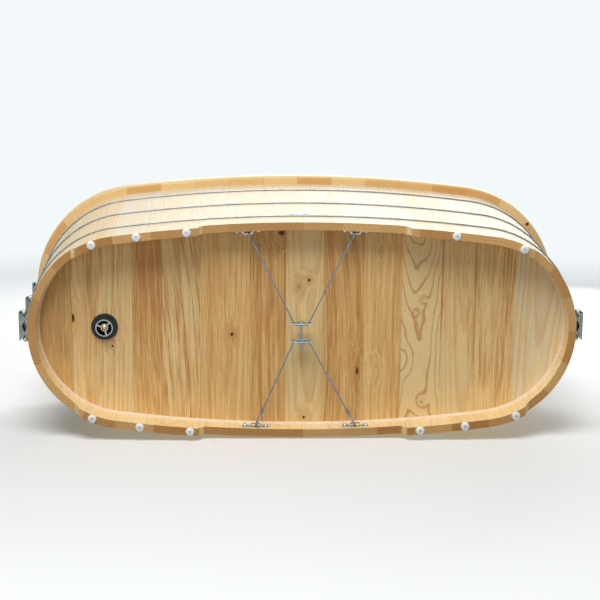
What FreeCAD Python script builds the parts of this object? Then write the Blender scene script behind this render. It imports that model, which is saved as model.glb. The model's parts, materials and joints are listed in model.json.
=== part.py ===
import FreeCAD
import Part
import math
import os

# Coopered wooden bathtub with crosswise bottom boards, wire hoops, a cable brace under the bottom and a drain.
# Millimetres. X runs along the tub, Y across it and Z up. The origin is on the floor, under the middle.

# Oval wall, measured outside along the lower ends of the staves
foot_length = 1494.0
foot_width = 598.0
side_radius = 4000.0
wall_height = 586.0
wall_flare = 27.0
wall_thickness = 22.0
staves_per_side = 10
staves_per_end = 8

# Cut-backs in the lower edge of the wall, which leave four standing sections
cut_depth = 27.0
middle_cut_half = 286.0
end_cut_inset = 135.0

# Bottom boards, the groove that holds them and the bead that seals them
recess_depth = 87.0
board_thickness = 24.0
groove_depth = 8.0
groove_clearance = 0.4
sealant_leg = 6.0
board_edge_shares = (-0.861, -0.637, -0.525, -0.386, -0.199, -0.064, 0.075, 0.227, 0.370, 0.518, 0.657, 0.796)

# Rim
rim_height = 40.0
rim_overhang = 25.0
rim_inner_lip = 6.0
rim_rounding = 8.0
rim_segments_per_side = 2
rim_segments_per_end = 3
rim_fingers = 4
rim_finger_length = 14.0
rim_hole_radius = 6.0
rim_hole_depth = 20.0
rim_hole_angle = -41.0
rim_hole_overhang_share = 0.6

# Glides nailed under the standing sections, at shares of a section's length from its inner end
glide_radius = 12.0
glide_height = 6.0
glide_flat_radius = 7.0
glide_recess_radius = 4.4
glide_recess_depth = 2.4
nail_radius = 1.5
nail_head_radius = 3.8
nail_head_thickness = 1.4
nail_depth = 20.0
front_left_glide_shares = (0.09, 0.50, 0.865)
front_right_glide_shares = (0.37, 0.935)
back_left_glide_shares = (0.075, 0.495, 0.89)
back_right_glide_shares = (0.11, 0.49, 0.92)

# Wire hoops and the lugs that draw them tight
wire_radius = 2.0
low_hoop_height = 105.0
middle_hoop_height = 288.0
top_hoop_below_rim = 99.0
rod_leave_angle = 10.0
rod_offset = 5.5
lug_length = 80.0
lug_height = 26.0
lug_depth = 28.0
lug_plate = 2.5
lug_slot_half = 3.0
lug_tab_inset = 7.5
lug_notch_depth = 15.0
lug_notch_half = 12.5
lug_window_half_length = 17.0
lug_window_half_width = 7.0
hoop_nut_radius = 8.0
hoop_nut_flats = 14.0
hoop_nut_grip = 4.0

# Cable brace under the bottom
brace_drop = 42.0
brace_centre_x = -6.0
brace_centre_y = 7.0
brace_plate_spacing = 50.0
brace_plate_length = 58.0
brace_plate_thickness = 3.0
brace_plate_end_height = 11.0
brace_plate_mid_height = 25.0
brace_hole_spacing = 40.0
brace_hole_radius = 4.4
brace_bolt_radius = 3.0
brace_bolt_head_radius = 6.5
brace_bolt_head_height = 3.6
brace_bolt_tail = 22.0
brace_washer_radius = 6.5
brace_washer_thickness = 1.6
brace_nut_flats = 10.0
brace_nut_height = 5.0
cable_radius = 2.25
cable_corner_radius = 6.0
cable_bend_radius = 15.0
cable_loop_radius = 12.0
cable_wall_gap = 1.0
cable_strand_gap = 0.3
ferrule_length = 14.0
ferrule_wall = 1.6
front_left_ferrule_distance = 31.0
front_right_ferrule_distance = 29.0
back_left_ferrule_distance = 33.0
back_right_ferrule_distance = 29.0
cable_tail = 9.0

# Saddles that hold the cable ends to the wall
front_left_saddle_x = -153.0
front_right_saddle_x = 138.0
back_left_saddle_x = -131.0
back_right_saddle_x = 146.0
saddle_length = 73.0
saddle_width = 12.0
saddle_thickness = 2.5
saddle_arch_height = 8.0
saddle_arch_half = 12.0
saddle_arch_ramp = 5.0
saddle_screw_spacing = 57.0
screw_flange_radius = 6.8
screw_flange_thickness = 1.6
screw_head_radius = 5.6
screw_head_height = 5.0
screw_radius = 2.2
screw_length = 17.0

# Drain
drain_board_share = 0.54
drain_tail_radius = 23.9
drain_tail_wall = 3.0
drain_hole_clearance = 0.6
drain_flange_radius = 36.0
drain_flange_thickness = 4.0
drain_flange_chamfer = 1.5
top_gasket_thickness = 2.0
under_gasket_radius = 36.5
under_gasket_thickness = 6.0
locknut_radius = 29.5
locknut_height = 6.0
locknut_lugs = 6
locknut_lug_depth = 2.5
locknut_lug_width = 9.0
tail_exposed = 8.0
tail_relief_width = 2.0
tail_relief_depth = 0.6
spider_inset = 7.0
spider_height = 5.0
spider_hub_radius = 10.5
spoke_width = 4.6
spoke_count = 3
spoke_start_angle = 76.0
cartridge_radius = 7.5
cartridge_below_hub = 3.0
cartridge_below_flange = 3.0
cartridge_floor = 8.0
stem_radius = 3.95
stopper_radius = 31.0
stopper_edge = 2.5
stopper_crown = 3.0
stopper_seal_inner = 24.0
stopper_seal_outer = 29.0
stopper_seal_thickness = 2.5
stopper_rest_gap = 0.3
stem_floor_gap = 1.0

# Bare oval plate on the front
plate_x = -12.0
plate_height = 146.0
plate_length = 58.0
plate_breadth = 42.0
plate_thickness = 1.4

# Fits shared by the pieces
seat_gap = 0.1
fit_clearance = 0.05
overrun = 20.0

# Levels and slopes that follow from the sizes above
foot_z = glide_height
wall_top_z = foot_z + wall_height
board_under_z = foot_z + recess_depth
board_top_z = board_under_z + board_thickness
lean = wall_flare / wall_height
lean_angle = math.atan(lean)
half_length = foot_length / 2
half_width = foot_width / 2
end_radius = ((2 * side_radius * half_width - half_length ** 2 - half_width ** 2)
              / (2 * (side_radius - half_length)))
end_centre_x = half_length - end_radius
side_centre_y = side_radius - half_width
end_half_angle = math.degrees(math.atan2(side_centre_y, end_centre_x))
side_half_angle = 90 - end_half_angle
end_cut_start = half_length - end_cut_inset
board_offset = lean * recess_depth - wall_thickness + groove_depth - groove_clearance
board_reach = half_length + board_offset
board_edges = [share * board_reach for share in board_edge_shares]
drain_x = board_edges[0] + drain_board_share * (board_edges[1] - board_edges[0])
brace_z = board_under_z - brace_drop
bolt_cable_offset = brace_bolt_radius + cable_radius + cable_strand_gap
bolt_z = brace_z + bolt_cable_offset / 2
cable_z = brace_z - bolt_cable_offset / 2

origin = FreeCAD.Vector(0, 0, 0)
x_axis = FreeCAD.Vector(1, 0, 0)
y_axis = FreeCAD.Vector(0, 1, 0)
z_axis = FreeCAD.Vector(0, 0, 1)


def vec(x, y, z):
    return FreeCAD.Vector(x, y, z)


def polar(centre, radius, angle, z):
    turn = math.radians(angle)
    return vec(centre.x + radius * math.cos(turn), centre.y + radius * math.sin(turn), z)


def line(start, end):
    return Part.LineSegment(start, end).toShape()


def arc(start, middle, end):
    return Part.Arc(start, middle, end).toShape()


# The oval is four tangent arcs, listed anticlockwise from the front side: centre, radius, first angle and sweep
def oval_arcs(offset):
    return {
        "front": (vec(0, side_centre_y, 0), side_radius + offset, -90 - side_half_angle, 2 * side_half_angle),
        "right": (vec(end_centre_x, 0, 0), end_radius + offset, -end_half_angle, 2 * end_half_angle),
        "back": (vec(0, -side_centre_y, 0), side_radius + offset, 90 - side_half_angle, 2 * side_half_angle),
        "left": (vec(-end_centre_x, 0, 0), end_radius + offset, 180 - end_half_angle, 2 * end_half_angle),
    }


def oval_face(offset, z):
    edges = []
    for centre, radius, first, sweep in oval_arcs(offset).values():
        ends = [polar(centre, radius, first + share * sweep, z) for share in (0, 0.5, 1)]
        edges.append(arc(*ends))
    return Part.Face(Part.Wire(edges))


# How far out the outside of the wall stands at a height, against its foot
def flare_at(z):
    return lean * (z - foot_z)


# Half the width of the oval at a place along the tub
def oval_y(x, offset):
    if abs(x) > end_centre_x + (end_radius + offset) * math.cos(math.radians(end_half_angle)):
        return math.sqrt((end_radius + offset) ** 2 - (abs(x) - end_centre_x) ** 2)
    return math.sqrt((side_radius + offset) ** 2 - x ** 2) - side_centre_y


# A piece of a ring: a section of radii and heights, turned about the centre of one arc of the oval
def ring_sector(section, oval_arc, index, count):
    centre, radius, first, sweep = oval_arc
    start = first + sweep * index / count
    points = [polar(centre, radius + out, start, z) for out, z in section]
    face = Part.Face(Part.makePolygon(points + points[:1]))
    return face.revolve(vec(centre.x, centre.y, 0), z_axis, sweep / count)


# A solid turned about a vertical axis from radii and heights
def turned(section, centre):
    points = [vec(centre.x + radius, centre.y, z) for radius, z in section]
    face = Part.Face(Part.makePolygon(points + points[:1]))
    return face.revolve(vec(centre.x, centre.y, 0), z_axis, 360)


def cylinder(radius, height, base, axis=z_axis):
    return Part.makeCylinder(radius, height, base, axis)


def tube_ring(inner, outer, height, base):
    return cylinder(outer, height, base).cut(cylinder(inner, height, base))


# A flat cap with a rounded crown, standing on a plane along an axis
def dome(radius, height, base, axis):
    ball = (radius ** 2 + height ** 2) / (2 * height)
    side = x_axis if abs(axis.dot(x_axis)) < 0.9 else y_axis
    side = axis.cross(side).normalize()
    rise = math.asin(radius / ball) / 2
    top = base + axis * height
    edge = base + side * radius
    middle = base + axis * (height - ball * (1 - math.cos(rise))) + side * (ball * math.sin(rise))
    outline = Part.Wire([line(base, edge), arc(edge, middle, top), line(top, base)])
    return Part.Face(outline).revolve(base, axis, 360)


# Cutting tools for the lower edge of the wall, with coved ends
def foot_cutters():
    low = foot_z - overrun
    high = foot_z + cut_depth
    far = half_length + wall_flare + overrun
    wide = half_width + wall_flare + overrun
    diagonal = cut_depth * math.sqrt(0.5)

    def cove(x, way):
        start = vec(x, -wide, foot_z)
        middle = vec(x + way * (cut_depth - diagonal), -wide, foot_z + diagonal)
        return start, middle, vec(x + way * cut_depth, -wide, high)

    left_cove = cove(-middle_cut_half, 1)
    right_cove = cove(middle_cut_half, -1)
    outline = [
        line(vec(-middle_cut_half, -wide, low), left_cove[0]), arc(*left_cove),
        line(left_cove[2], right_cove[2]), arc(*right_cove[::-1]),
        line(right_cove[0], vec(middle_cut_half, -wide, low)),
        line(vec(middle_cut_half, -wide, low), vec(-middle_cut_half, -wide, low)),
    ]
    through = vec(0, 2 * wide, 0)
    cutters = [Part.Face(Part.Wire(outline)).extrude(through)]
    for way in (1, -1):
        end_cove = cove(way * end_cut_start, way)
        outline = [
            line(vec(way * end_cut_start, -wide, low), end_cove[0]), arc(*end_cove),
            line(end_cove[2], vec(way * far, -wide, high)),
            line(vec(way * far, -wide, high), vec(way * far, -wide, low)),
            line(vec(way * far, -wide, low), vec(way * end_cut_start, -wide, low)),
        ]
        cutters.append(Part.Face(Part.Wire(outline)).extrude(through))
    return cutters


# Centres of the glides, on the middle of the wall's lower edge
def glide_places():
    rows = (
        (front_left_glide_shares, -1, -1), (front_right_glide_shares, 1, -1),
        (back_left_glide_shares, -1, 1), (back_right_glide_shares, 1, 1),
    )
    places = []
    for shares, along, across in rows:
        for share in shares:
            x = middle_cut_half + share * (end_cut_start - middle_cut_half)
            places.append(vec(along * x, across * oval_y(x, -wall_thickness / 2), 0))
    return places


def foot_glide(place):
    bore = nail_radius + fit_clearance
    shoulder = vec(place.x + glide_radius, place.y, glide_height)
    toe = vec(place.x + glide_flat_radius, place.y, 0)
    bulge = vec(place.x + glide_flat_radius + (glide_radius - glide_flat_radius) * math.sqrt(0.5), place.y,
                glide_height * (1 - math.sqrt(0.5)))
    corners = [(glide_recess_radius, 0), (glide_recess_radius, glide_recess_depth), (bore, glide_recess_depth),
               (bore, glide_height)]
    points = [toe] + [vec(place.x + radius, place.y, z) for radius, z in corners] + [shoulder]
    edges = [line(start, end) for start, end in zip(points, points[1:])] + [arc(shoulder, bulge, toe)]
    return Part.Face(Part.Wire(edges)).revolve(place, z_axis, 360)


def foot_nail(place):
    head = cylinder(nail_head_radius, nail_head_thickness,
                    place + z_axis * (glide_recess_depth - nail_head_thickness))
    shank = cylinder(nail_radius, foot_z + nail_depth - glide_recess_depth, place + z_axis * glide_recess_depth)
    return head.fuse(shank).removeSplitter()


def nail_hole(place):
    return cylinder(nail_radius + fit_clearance, nail_depth + seat_gap + overrun, place + z_axis * (foot_z - overrun))


# Saddles stand square on the inside of the wall, which leans: along, inward and upward directions at each
def saddle_places():
    spots = {
        "front_left": (front_left_saddle_x, -1, front_left_ferrule_distance),
        "front_right": (front_right_saddle_x, -1, front_right_ferrule_distance),
        "back_left": (back_left_saddle_x, 1, back_left_ferrule_distance),
        "back_right": (back_right_saddle_x, 1, back_right_ferrule_distance),
    }
    places = {}
    for name, (x, across, ferrule_distance) in spots.items():
        offset = flare_at(brace_z) - wall_thickness
        point = vec(x, across * oval_y(x, offset), brace_z)
        level = vec(-x, -across * math.sqrt((side_radius + offset) ** 2 - x ** 2), 0).normalize()
        inward = (level * math.cos(lean_angle) + z_axis * math.sin(lean_angle)).normalize()
        along = level.cross(z_axis).normalize()
        upward = along.cross(inward).normalize()
        bow = (saddle_length / 2) ** 2 / (2 * (side_radius + offset))
        places[name] = {"point": point + inward * (bow + fit_clearance), "along": along, "inward": inward,
                        "upward": upward, "across": across, "ferrule_distance": ferrule_distance}
    return places


def saddle_point(place, along, inward, upward):
    return place["point"] + place["along"] * along + place["inward"] * inward + place["upward"] * upward


def saddle_bracket(place):
    arch_foot = saddle_arch_half + saddle_arch_ramp
    half = [(saddle_arch_half, saddle_arch_height + saddle_thickness), (arch_foot, saddle_thickness),
            (saddle_length / 2, saddle_thickness), (saddle_length / 2, 0), (arch_foot - saddle_thickness, 0),
            (saddle_arch_half - saddle_thickness, saddle_arch_height)]
    outline = half + [(-along, inward) for along, inward in half[::-1]]
    points = [saddle_point(place, along, inward, -saddle_width / 2) for along, inward in outline]
    bracket = Part.Face(Part.makePolygon(points + points[:1])).extrude(place["upward"] * saddle_width)
    for way in (-1, 1):
        base = saddle_point(place, way * saddle_screw_spacing / 2, -overrun, 0)
        bracket = bracket.cut(cylinder(screw_radius + fit_clearance, 2 * overrun, base, place["inward"]))
    return bracket


def saddle_screws(place):
    screws = []
    for way in (-1, 1):
        seat = saddle_point(place, way * saddle_screw_spacing / 2, saddle_thickness, 0)
        flange = cylinder(screw_flange_radius, screw_flange_thickness, seat, place["inward"])
        crown = seat + place["inward"] * screw_flange_thickness
        head = flange.fuse(dome(screw_head_radius, screw_head_height, crown, place["inward"]))
        shank = cylinder(screw_radius, screw_length, seat, place["inward"] * -1)
        screws.append(head.fuse(shank).removeSplitter())
    return screws


def screw_holes(place):
    holes = []
    for way in (-1, 1):
        mouth = saddle_point(place, way * saddle_screw_spacing / 2, saddle_thickness, 0)
        holes.append(cylinder(screw_radius + fit_clearance, screw_length + seat_gap, mouth, place["inward"] * -1))
    return holes


# One stave: wall section with the groove for the bottom boards, turned through the stave's share of an arc
def stave_section():
    groove_top = board_top_z + groove_clearance
    inside = -wall_thickness
    return [
        (0, foot_z), (wall_flare, wall_top_z), (wall_flare + inside, wall_top_z),
        (flare_at(groove_top) + inside, groove_top), (flare_at(groove_top) + inside + groove_depth, groove_top),
        (flare_at(board_under_z) + inside + groove_depth, board_under_z),
        (flare_at(board_under_z) + inside, board_under_z), (inside, foot_z),
    ]


def build_staves(tools):
    counts = {"front": staves_per_side, "back": staves_per_side, "right": staves_per_end, "left": staves_per_end}
    halves = {"front": ("left", "right"), "right": ("front", "back"), "back": ("right", "left"),
              "left": ("back", "front")}
    groups = {}
    for wall, oval_arc in oval_arcs(0).items():
        for index in range(counts[wall]):
            stave = ring_sector(stave_section(), oval_arc, index, counts[wall])
            for tool in tools:
                if tool.BoundBox.intersect(stave.BoundBox):
                    stave = stave.cut(tool)
            half = halves[wall][2 * index // counts[wall]]
            groups.setdefault(f"{wall}_wall_staves_{half}", []).append(stave)
    return groups


def build_boards():
    slab = oval_face(board_offset, board_under_z).extrude(z_axis * board_thickness)
    drain_hole = cylinder(drain_tail_radius + drain_hole_clearance, board_thickness + 2 * overrun,
                          vec(drain_x, 0, board_under_z - overrun))
    edges = [-board_reach - overrun] + board_edges + [board_reach + overrun]
    boards = {}
    for number, (left, right) in enumerate(zip(edges, edges[1:]), start=1):
        strip = Part.makeBox(right - left, foot_width, board_thickness, vec(left, -half_width, board_under_z))
        board = slab.common(strip)
        if left < drain_x + drain_tail_radius and right > drain_x - drain_tail_radius:
            board = board.cut(drain_hole)
        boards[f"bottom_board_{number:02d}"] = [board]
    return boards


def build_sealant():
    inside = flare_at(board_under_z) - wall_thickness
    low = board_under_z - sealant_leg
    section = [(inside, board_under_z), (inside - sealant_leg, board_under_z), (flare_at(low) - wall_thickness, low)]
    pieces = [ring_sector(section, oval_arc, 0, 1) for oval_arc in oval_arcs(0).values()]
    return pieces[0].multiFuse(pieces[1:])


# What lies past a finger joint of the rim, which zigzags between its rounded edges
def past_finger_joint(centre, inner, outer, angle, way):
    along = polar(origin, way, angle + 90, 0)
    low = wall_top_z - overrun
    steps = 2 * rim_fingers + 1
    zigzag = [polar(centre, inner - overrun, angle, low), polar(centre, inner + rim_rounding, angle, low)]
    for step in range(1, steps):
        out = inner + rim_rounding + (outer - inner - 2 * rim_rounding) * step / steps
        side = way if step % 2 else -way
        zigzag.append(polar(centre, out, angle, low) + along * (side * rim_finger_length / 2))
    zigzag += [polar(centre, outer - rim_rounding, angle, low), polar(centre, outer + overrun, angle, low)]
    points = zigzag + [point + along * (2 * rim_finger_length) for point in (zigzag[-1], zigzag[0])]
    return Part.Face(Part.makePolygon(points + points[:1])).extrude(z_axis * (rim_height + 2 * overrun))


# Rim section with rounded corners, turned through the segment's share of an arc and fingered at its ends
def rim_segment(oval_arc, index, count):
    centre, radius, first, sweep = oval_arc
    inner = radius + wall_flare - wall_thickness - rim_inner_lip
    outer = radius + wall_flare + rim_overhang
    first_joint = first + sweep * index / count
    last_joint = first_joint + sweep / count
    extra = math.degrees(rim_finger_length / inner)
    start = first_joint - extra
    low, high, soft = wall_top_z, wall_top_z + rim_height, rim_rounding
    shy = soft * (1 - math.sqrt(0.5))
    corners = (
        ((inner, low + soft), (inner + shy, low + shy), (inner + soft, low)),
        ((outer - soft, low), (outer - shy, low + shy), (outer, low + soft)),
        ((outer, high - soft), (outer - shy, high - shy), (outer - soft, high)),
        ((inner + soft, high), (inner + shy, high - shy), (inner, high - soft)),
    )
    bends = [[polar(centre, out, start, z) for out, z in corner] for corner in corners]
    edges = []
    for bend, following in zip(bends, bends[1:] + bends[:1]):
        edges.append(arc(*bend))
        edges.append(line(bend[2], following[0]))
    blank = Part.Face(Part.Wire(edges)).revolve(vec(centre.x, centre.y, 0), z_axis, sweep / count + 2 * extra)
    blank = blank.cut(past_finger_joint(centre, inner, outer, first_joint, -1))
    return blank.cut(past_finger_joint(centre, inner, outer, last_joint, 1))


def build_rim():
    arcs = oval_arcs(0)
    counts = {"front": rim_segments_per_side, "right": rim_segments_per_end, "back": rim_segments_per_side,
              "left": rim_segments_per_end}
    hole_out = end_radius + wall_flare + rim_hole_overhang_share * rim_overhang
    hole_base = polar(arcs["right"][0], hole_out, rim_hole_angle, wall_top_z - overrun)
    hole = cylinder(rim_hole_radius, rim_hole_depth + overrun, hole_base)
    segments = {}
    for wall, count in counts.items():
        for index in range(count):
            segment = rim_segment(arcs[wall], index, count)
            if wall == "right":
                segment = segment.cut(hole)
            segments[f"rim_segment_{len(segments) + 1:02d}"] = [segment]
    return segments


# Line of a hoop wire at a height, and where its straight threaded ends lie
def hoop_radii(z):
    grow = flare_at(z) + wire_radius / math.cos(lean_angle) + seat_gap
    return end_radius + grow, side_radius + grow


def rod_point(z, y):
    radius = hoop_radii(z)[0]
    turn = math.radians(rod_leave_angle)
    return vec(end_centre_x + radius / math.cos(turn) - y * math.tan(turn), -y, z)


def rod_heading():
    turn = math.radians(rod_leave_angle)
    return vec(math.sin(turn), math.cos(turn), 0)


# The front rod goes right through the lug, so its nut sits on the tab at the back
def nut_centre(z):
    seat = math.sqrt(hoop_nut_radius ** 2 - lug_slot_half ** 2) + seat_gap
    return rod_point(z, lug_tab_inset - lug_length / 2 - seat)


def mirrored_x(point):
    return vec(-point.x, point.y, point.z)


def hoop_half(z):
    radius, long_radius = hoop_radii(z)
    end_centre = vec(end_centre_x, 0, 0)
    side_centre = vec(0, side_centre_y, 0)
    tip = nut_centre(z) + rod_heading() * (hoop_nut_grip - seat_gap)
    leave = polar(end_centre, radius, -rod_leave_angle, z)
    bend = polar(end_centre, radius, -(rod_leave_angle + end_half_angle) / 2, z)
    joint = polar(end_centre, radius, -end_half_angle, z)
    middle = polar(side_centre, long_radius, -90, z)
    edges = [
        line(mirrored_x(tip), mirrored_x(leave)), arc(mirrored_x(leave), mirrored_x(bend), mirrored_x(joint)),
        arc(mirrored_x(joint), middle, joint), arc(joint, bend, leave), line(leave, tip),
    ]
    return swept_wire(edges, wire_radius)


def swept_wire(edges, radius):
    path = Part.Wire(edges)
    start = edges[0].Vertexes[0].Point
    heading = edges[0].Vertexes[1].Point - start
    profile = Part.Wire(Part.Circle(start, heading, radius).toShape())
    return path.makePipeShell([profile], True, False)


def hoop_levels():
    return {"low": foot_z + low_hoop_height, "middle": foot_z + middle_hoop_height,
            "top": wall_top_z - top_hoop_below_rim}


# Folded lug at the right end of a hoop: web, two notched flanges, the lower one windowed, and two slotted tabs
def hoop_lug(z):
    apex = half_length + flare_at(z)
    start = apex - lug_depth
    outside = Part.makeBox(2 * lug_depth, lug_length, lug_height, vec(start, -lug_length / 2, z - lug_height / 2))
    hollow = Part.makeBox(2 * lug_depth - lug_plate, lug_length, lug_height - 2 * lug_plate,
                          vec(start, -lug_length / 2, z - lug_height / 2 + lug_plate))
    lug = outside.cut(hollow)
    middle = apex + (lug_depth - lug_plate) / 2
    low = z - lug_height
    window = [vec(middle - lug_window_half_width, 0, low), vec(middle, -lug_window_half_length, low),
              vec(middle + lug_window_half_width, 0, low), vec(middle, lug_window_half_length, low)]
    tools = []
    for way in (-1, 1):
        end = way * lug_length / 2
        past = end + way * overrun
        tools.append([vec(middle - lug_notch_half, end, low), vec(middle, end - way * lug_notch_depth, low),
                      vec(middle + lug_notch_half, end, low), vec(middle + lug_notch_half, past, low),
                      vec(middle - lug_notch_half, past, low)])
    for points in tools:
        lug = lug.cut(Part.Face(Part.makePolygon(points + points[:1])).extrude(z_axis * 2 * lug_height))
    lug = lug.cut(Part.Face(Part.makePolygon(window + window[:1])).extrude(z_axis * lug_height))
    for way in (-1, 1):
        tab_y = way * (lug_length / 2 - lug_tab_inset - lug_plate / 2)
        tab = Part.makeBox(2 * lug_depth, lug_plate, lug_height - 2 * lug_plate,
                           vec(start, tab_y - lug_plate / 2, z - lug_height / 2 + lug_plate))
        for side in (-1, 1):
            rod_z = z + side * rod_offset
            deepest = nut_centre(rod_z) if way == side else rod_point(rod_z, way * tab_y)
            slot = Part.makeBox(deepest.x - start, 2 * lug_plate, 2 * lug_slot_half,
                                vec(start, tab_y - lug_plate, rod_z - lug_slot_half))
            slot_end = cylinder(lug_slot_half, 2 * lug_plate, vec(deepest.x, tab_y - lug_plate, rod_z), y_axis)
            tab = tab.cut(slot).cut(slot_end)
        lug = lug.fuse(tab)
    wall = Part.makeCone(end_radius + seat_gap, end_radius + wall_flare + seat_gap, wall_height,
                         vec(end_centre_x, 0, foot_z))
    return lug.cut(wall).removeSplitter()


# Ball nut with two flats on the front rod at the right lug, seated in the slot of the far tab
def hoop_nut(z):
    centre, heading = nut_centre(z), rod_heading()
    ball = Part.makeSphere(hoop_nut_radius, centre)
    across = Part.makeBox(2 * hoop_nut_radius, 2 * hoop_nut_radius, hoop_nut_flats,
                          centre - vec(hoop_nut_radius, hoop_nut_radius, hoop_nut_flats / 2))
    bore = cylinder(wire_radius + fit_clearance, hoop_nut_radius + hoop_nut_grip,
                    centre - heading * hoop_nut_radius, heading)
    return ball.common(across).cut(bore)


def mirrored(shape, normal):
    return shape.mirror(origin, normal)


def build_hoops():
    nodes = {}
    lugs, nuts = [], []
    for name, front_z in hoop_levels().items():
        lug_z, back_z = front_z - rod_offset, front_z - 2 * rod_offset
        nodes[f"{name}_hoop_wire"] = [hoop_half(front_z), mirrored(hoop_half(back_z), y_axis)]
        lug = hoop_lug(lug_z)
        lugs += [lug, mirrored(lug, x_axis)]
        nut, back_nut = hoop_nut(front_z), mirrored(hoop_nut(back_z), y_axis)
        nuts += [nut, back_nut, mirrored(nut, x_axis), mirrored(back_nut, x_axis)]
    nodes["hoop_lugs"] = lugs
    nodes["hoop_nuts"] = nuts
    return nodes


# The brace's two plates stand across the tub's width, with the bolt along it
def plate_inner_y(across):
    return brace_centre_y + across * (brace_plate_spacing - brace_plate_thickness) / 2


def brace_plate(across):
    half, end, mid = brace_plate_length / 2, brace_plate_end_height / 2, brace_plate_mid_height / 2
    y = min(plate_inner_y(across), plate_inner_y(across) + across * brace_plate_thickness)
    corners = [vec(brace_centre_x + x, y, brace_z + z)
               for x, z in ((-half, -end), (0, -mid), (half, -end), (half, end), (0, mid), (-half, end))]
    outline = [arc(*corners[0:3]), line(corners[2], corners[3]), arc(*corners[3:6]), line(corners[5], corners[0])]
    plate = Part.Face(Part.Wire(outline)).extrude(y_axis * brace_plate_thickness)
    holes = ((0, bolt_z, brace_bolt_radius + fit_clearance), (-brace_hole_spacing / 2, cable_z, brace_hole_radius),
             (brace_hole_spacing / 2, cable_z, brace_hole_radius))
    for x, z, radius in holes:
        start = vec(brace_centre_x + x, y - brace_plate_thickness, z)
        plate = plate.cut(cylinder(radius, 3 * brace_plate_thickness, start, y_axis))
    return plate


def bolt_seat(across):
    return vec(brace_centre_x, plate_inner_y(across) + across * brace_plate_thickness, bolt_z)


def brace_bolt():
    front, back = bolt_seat(-1), bolt_seat(1)
    shank_length = back.y - front.y + brace_washer_thickness + brace_nut_height + brace_bolt_tail
    head = dome(brace_bolt_head_radius, brace_bolt_head_height, front, y_axis * -1)
    return head.fuse(cylinder(brace_bolt_radius, shank_length, front, y_axis)).removeSplitter()


def brace_washer():
    seat = bolt_seat(1)
    bore = cylinder(brace_bolt_radius + fit_clearance, brace_washer_thickness, seat, y_axis)
    return cylinder(brace_washer_radius, brace_washer_thickness, seat, y_axis).cut(bore)


def brace_nut():
    seat = bolt_seat(1) + y_axis * brace_washer_thickness
    corner = brace_nut_flats / math.sqrt(3)
    points = [seat + vec(corner * math.cos(math.radians(turn)), 0, corner * math.sin(math.radians(turn)))
              for turn in range(0, 360, 60)]
    hexagon = Part.Face(Part.makePolygon(points + points[:1])).extrude(y_axis * brace_nut_height)
    return hexagon.cut(cylinder(brace_bolt_radius + fit_clearance, brace_nut_height, seat, y_axis))


# Straight runs through the points, joined by arcs of the given radii at the inner points
def rounded_path(points, radii):
    edges = []
    start = points[0]
    for before, corner, after, radius in zip(points, points[1:], points[2:], radii):
        back = (before - corner).normalize()
        onward = (after - corner).normalize()
        half = back.getAngle(onward) / 2
        reach = radius / math.tan(half)
        middle = corner + (back + onward).normalize() * (radius / math.sin(half) - radius)
        edges.append(line(start, corner + back * reach))
        edges.append(arc(corner + back * reach, middle, corner + onward * reach))
        start = corner + onward * reach
    edges.append(line(start, points[-1]))
    return edges


# One end of a cable: it runs on to the saddle, loops under its arch and comes back to the ferrule
def cable_end(place, corner):
    far = place["point"] + place["inward"] * (cable_wall_gap + cable_radius)
    far = vec(far.x, far.y, cable_z)
    heading = (far - corner).normalize()
    fork = far - heading * place["ferrule_distance"]
    pitch = 2 * cable_radius + cable_strand_gap
    run = place["ferrule_distance"] - cable_loop_radius
    reach = math.hypot(run, pitch / 2)
    slope = math.atan2(pitch / 2, run) - math.asin(cable_loop_radius / reach)
    tangent = math.sqrt(reach ** 2 - cable_loop_radius ** 2)
    spread = tangent * math.sin(slope)
    low = fork + heading * (tangent * math.cos(slope)) + z_axis * spread
    high = fork + heading * (tangent * math.cos(slope)) + z_axis * (pitch - spread)
    far = far + z_axis * (pitch / 2)
    bend_room = cable_bend_radius * math.tan(abs(slope) / 2) + ferrule_wall
    tail = fork - heading * (bend_room + ferrule_length + cable_tail) + z_axis * pitch
    return {"fork": fork, "low": low, "high": high, "far": far, "fold": fork + z_axis * pitch, "tail": tail,
            "heading": heading, "ferrule_start": fork - heading * (bend_room + ferrule_length), "pitch": pitch}


def cable_ends(across):
    row = "front" if across < 0 else "back"
    depth = plate_inner_y(across) - across * (cable_radius + cable_strand_gap)
    corners, ends = [], []
    for side, way in (("left", -1), ("right", 1)):
        place = saddle_places()[f"{row}_{side}"]
        lead = abs(place["point"].x - brace_centre_x) / abs(place["point"].y - depth)
        shift = lead * (cable_radius + cable_strand_gap + brace_plate_thickness / 2)
        corner = vec(brace_centre_x + way * (brace_hole_spacing / 2 - shift), depth, cable_z)
        corners.append(corner)
        ends.append(cable_end(place, corner))
    return corners, ends


def brace_cable(across):
    corners, (left, right) = cable_ends(across)
    middle = rounded_path([left["low"], left["fork"], corners[0], corners[1], right["fork"], right["low"]],
                          [cable_bend_radius, cable_corner_radius, cable_corner_radius, cable_bend_radius])
    edges = rounded_path([left["tail"], left["fold"], left["high"]], [cable_bend_radius])
    edges.append(arc(left["high"], left["far"], left["low"]))
    edges += middle
    edges.append(arc(right["low"], right["far"], right["high"]))
    edges += rounded_path([right["high"], right["fold"], right["tail"]], [cable_bend_radius])
    return swept_wire(edges, cable_radius)


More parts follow.
